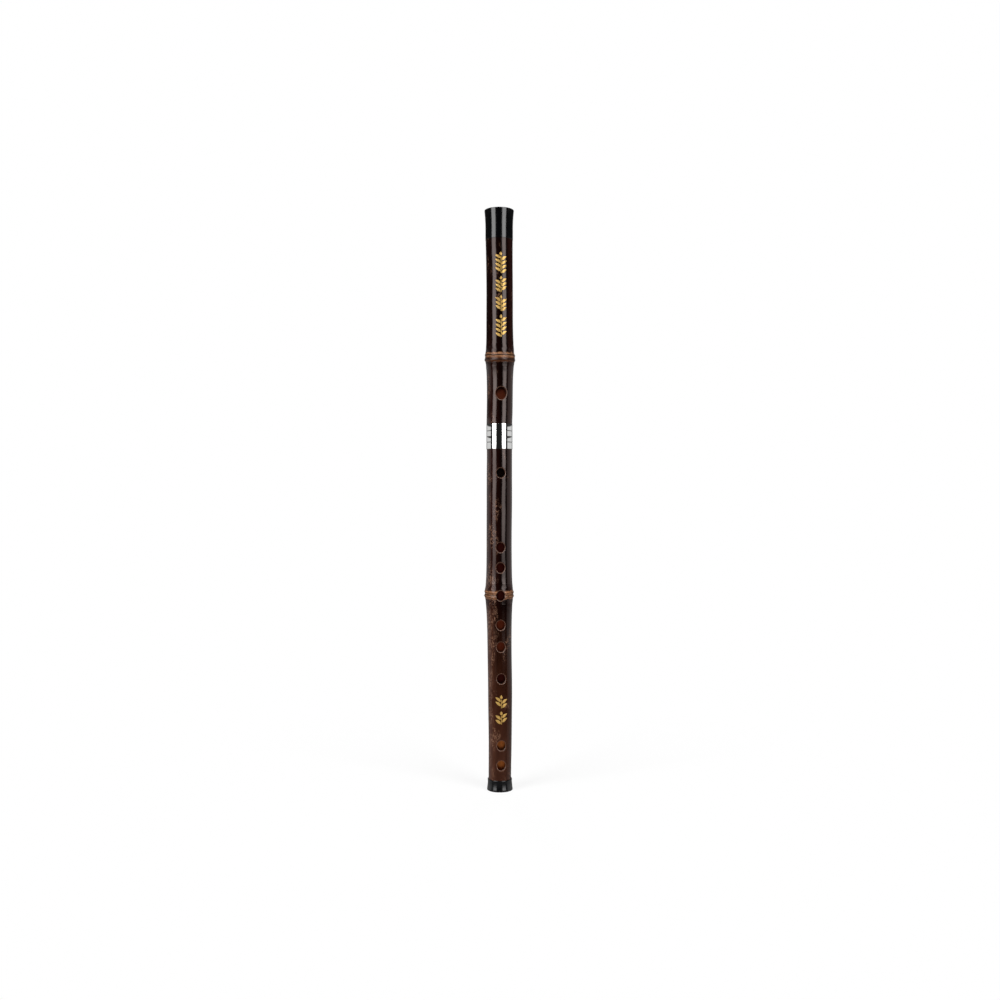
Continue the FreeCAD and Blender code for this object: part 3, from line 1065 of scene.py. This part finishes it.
def make_floor():
    """A pale round floor that fades into the white surroundings."""
    vertices = [(0, 0, 0)]
    for step in range(floor_steps):
        angle = 2 * math.pi * step / floor_steps
        vertices.append((floor_radius * math.cos(angle), floor_radius * math.sin(angle), 0))
    faces = [(0, 1 + step, 1 + (step + 1) % floor_steps) for step in range(floor_steps)]
    mesh = bpy.data.meshes.new("floor")
    mesh.from_pydata(vertices, [], faces)
    floor = bpy.data.objects.new("floor", mesh)
    floor.location.z = -floor_gap
    bpy.context.scene.collection.objects.link(floor)
    material = bpy.data.materials.new("floor")
    material.use_nodes = True
    tree = material.node_tree
    surface = tree.nodes["Principled BSDF"]
    surface.inputs["Base Color"].default_value = (0.9, 0.9, 0.9, 1)
    surface.inputs["Roughness"].default_value = 0.8
    surface.inputs["Specular IOR Level"].default_value = 0.1
    coordinates = tree.nodes.new("ShaderNodeTexCoord")
    length = tree.nodes.new("ShaderNodeVectorMath")
    length.operation = "LENGTH"
    tree.links.new(coordinates.outputs["Object"], length.inputs[0])
    fade = tree.nodes.new("ShaderNodeMapRange")
    fade.interpolation_type = "SMOOTHSTEP"
    tree.links.new(length.outputs["Value"], fade.inputs["Value"])
    fade.inputs["From Min"].default_value = floor_radius * 0.96
    fade.inputs["From Max"].default_value = floor_radius * 0.1
    fade.inputs["To Max"].default_value = floor_cover
    tree.links.new(fade.outputs["Result"], surface.inputs["Alpha"])
    mesh.materials.append(material)


# -------- assembly

make_camera()
make_room()
make_fill()
make_floor()
bpy.context.scene.view_settings.view_transform = "Standard"

body_bamboo = lacquered_bamboo("lacquered_bamboo_body", body_node, body_scar)
head_bamboo = lacquered_bamboo("lacquered_bamboo_head", head_node, head_scar)
bare = cut_bamboo()
rim = lacquered_rim()
inside = bore_lacquer()
engraved = engraved_bamboo()
gold = gold_paint()
metal = nickel_silver()
black = black_cap()
stopper_cork = cork()

body_materials = [body_bamboo, inside, bare, engraved, rim]
head_materials = [head_bamboo, inside, bare, engraved, rim]


def make_body_tube():
    upper_end = [
        (seat_in_ring, body_ring_low.z),
        (seat_in_ring, parting - ring_sheet),
        (socket_high.x, parting - ring_sheet),
        (socket_high.x, socket_low.z),
        (bore, socket_low.z),
    ]
    lower_end = [
        (bore, body_low.z),
        (seat_in_tail_cap, body_low.z),
        (seat_in_tail_cap, tail_cap_high.z),
    ]
    tube = bamboo_tube("bamboo_body", body_culm, lower_end, upper_end, body_materials)
    jobs = [(place, finger_hole_size, -1) for place in finger_holes]
    jobs += [(place, vent_size, -1) for place in front_vents]
    jobs += [(place, tassel_hole_size, 1) for place in tassel_holes]
    jobs.append((membrane_hole, membrane_hole_size, -1))
    finish_tube(tube, body_culm, jobs, tail_sprays, body_materials, "body_joint", "body_tube")


def make_head_tube():
    upper_end = [
        (seat_in_head_cap, head_cap_low.z),
        (seat_in_head_cap, head_high.z),
        (head_bore, head_high.z),
        (head_bore, tenon_high.z),
    ]
    lower_end = [
        (tenon_high.x + tenon_gap, tenon_high.z),
        (tenon_high.x + tenon_gap, parting + ring_sheet),
        (seat_in_ring, parting + ring_sheet),
        (seat_in_ring, head_ring_high.z),
    ]
    tube = bamboo_tube("bamboo_head", head_culm, lower_end, upper_end, head_materials)
    jobs = [(mouth_hole, mouth_hole_size, -1)]
    finish_tube(tube, head_culm, jobs, head_sprays, head_materials, "head_joint", "head_tube")


def finish_tube(tube, culm, jobs, sprays, materials, body, stands_for):
    """Cuts a tube's holes and engraving, and puts it in place of its CAD node."""
    outward(tube.data)
    for number, (place, size, side) in enumerate(jobs):
        cut(tube, hole_cutter("hole_" + str(number), culm, place, size, side, materials))
    numbered = [(number, *spray) for number, spray in enumerate(sprays)]
    top = level(-engraving_above_skin)
    floor = level(engraving_depth)
    cutter = blades_mesh("engraving", culm, numbered, 0.0, top, floor, materials, ENGRAVED)
    cut(tube, cutter)
    finish_shading(tube)
    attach(tube, body)
    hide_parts(stands_for)


def make_gold():
    for number, spray in enumerate(head_sprays):
        node = "head_motif_" + str(number + 1)
        gold_spray("gold_" + node, head_culm, number, spray, gold, "head_joint", node)
    for number, spray in enumerate(tail_sprays):
        node = "body_motif_" + str(number + 1)
        gold_spray("gold_" + node, body_culm, number, spray, gold, "body_joint", node)


ring_edge = 0.08 * MM
groove = 5.0 * MM
groove_half = 0.35 * MM
groove_depth = 0.12 * MM
groove_rounding = 0.15 * MM


def make_ring(name, direction, opening, body, stands_for):
    """A ferrule: a thin metal cup over the bamboo's end, with a turned groove."""

    def height(offset):
        return parting + direction * offset

    skirt = head_ring_high.z - parting
    outline = [
        (opening, height(joint_gap), 0.05 * MM),
        (ring_radius, height(joint_gap), ring_edge),
        (ring_radius, height(groove - groove_half), groove_rounding),
        (ring_radius - groove_depth, height(groove), groove_rounding),
        (ring_radius, height(groove + groove_half), groove_rounding),
        (ring_radius, height(skirt), 0.12 * MM),
        (seat_in_ring, height(skirt), 0.05 * MM),
        (seat_in_ring, height(ring_sheet), 0.05 * MM),
        (opening, height(ring_sheet), 0.05 * MM),
    ]
    piece = turned(name, outline, [metal], body, stands_for)
    outward(piece.data)
    finish_shading(piece, crisp_degrees)


def make_tube(name, low, high, body, stands_for):
    outer = high.x
    inner = outer - tube_sheet
    top = high.z - joint_gap
    outline = [
        (inner, low.z, 0.1 * MM),
        (outer, low.z, 0.2 * MM),
        (outer, top, 0.05 * MM),
        (inner, top, 0.05 * MM),
    ]
    piece = turned(name, outline, [metal], body, stands_for)
    outward(piece.data)
    finish_shading(piece, turned_degrees)


tail_cap_sheet = 1.6 * MM
tail_cap_lip = 0.15 * MM
tail_cap_lip_height = 1.4 * MM
tail_flare_steps = 9


def make_tail_cap():
    rim = tail_cap_high.x
    waist = seat_in_tail_cap + tail_cap_sheet
    top = tail_cap_high.z
    lip_low = top - tail_cap_lip_height
    outline = [
        (bore, 0, 0.35 * MM),
        (rim, 0, 0.45 * MM),
    ]
    for step in range(1, tail_flare_steps):
        share = step / tail_flare_steps
        radius = waist + (rim - waist) * (1 - share) ** 1.7
        outline.append((radius, lip_low * (0.09 + 0.91 * share), 0))
    outline += [
        (waist, lip_low, 0.1 * MM),
        (waist + tail_cap_lip, lip_low + 0.3 * MM, 0.15 * MM),
        (waist + tail_cap_lip, top, 0.3 * MM),
        (seat_in_tail_cap, top, 0.05 * MM),
        (seat_in_tail_cap, body_low.z, 0.05 * MM),
        (bore, body_low.z, 0.05 * MM),
    ]
    piece = turned("cap_tail", outline, [black], "body_joint", "tail_cap")
    outward(piece.data)
    finish_shading(piece, turned_degrees)


head_cap_proud = 0.17 * MM
flare_length = 18.0 * MM
dome = 0.6 * MM
head_flare_steps = 12
dome_steps = 9


def make_head_cap():
    rim = head_cap_high.x
    straight = bore + head_wall_at_cap + head_cap_proud
    low = head_cap_low.z
    top = total_length - dome
    flare_start = total_length - flare_length
    outline = [
        (0, head_high.z, 0),
        (seat_in_head_cap, head_high.z, 0.05 * MM),
        (seat_in_head_cap, low, 0.05 * MM),
        (straight, low, 0.25 * MM),
        (straight, flare_start, 0),
    ]
    for step in range(1, head_flare_steps):
        share = step / head_flare_steps
        height = flare_start + (top - flare_start) * share
        outline.append((straight + (rim - straight) * share**2.1, height, 0))
    outline.append((rim, top, 0.7 * MM))
    for step in range(1, dome_steps):
        share = 1 - step / dome_steps
        outline.append(((rim - 0.8 * MM) * share, total_length - dome * share**2, 0))
    outline.append((0, total_length, 0))
    piece = turned("cap_head", outline, [black], "head_joint", "head_cap", closed=False)
    outward(piece.data)
    finish_shading(piece, turned_degrees)


cork_rounding = 0.9 * MM


def make_cork():
    outline = [
        (0, cork_low.z, 0),
        (head_bore, cork_low.z, cork_rounding),
        (head_bore, cork_high.z, cork_rounding),
        (0, cork_high.z, 0),
    ]
    piece = turned("cork", outline, [stopper_cork], "head_joint", "cork_stopper", closed=False)
    outward(piece.data)
    finish_shading(piece, turned_degrees)


make_body_tube()
make_head_tube()
make_gold()
make_ring("ring_body", -1, socket_high.x, "body_joint", "body_ferrule")
make_ring("ring_head", 1, tenon_high.x + tenon_gap, "head_joint", "head_ferrule")
make_tube("socket_liner", socket_low, socket_high, "body_joint", "socket_tube")
make_tube("tenon", tenon_low, tenon_high, "tenon", "tenon_tube")
make_tail_cap()
make_head_cap()
make_cork()
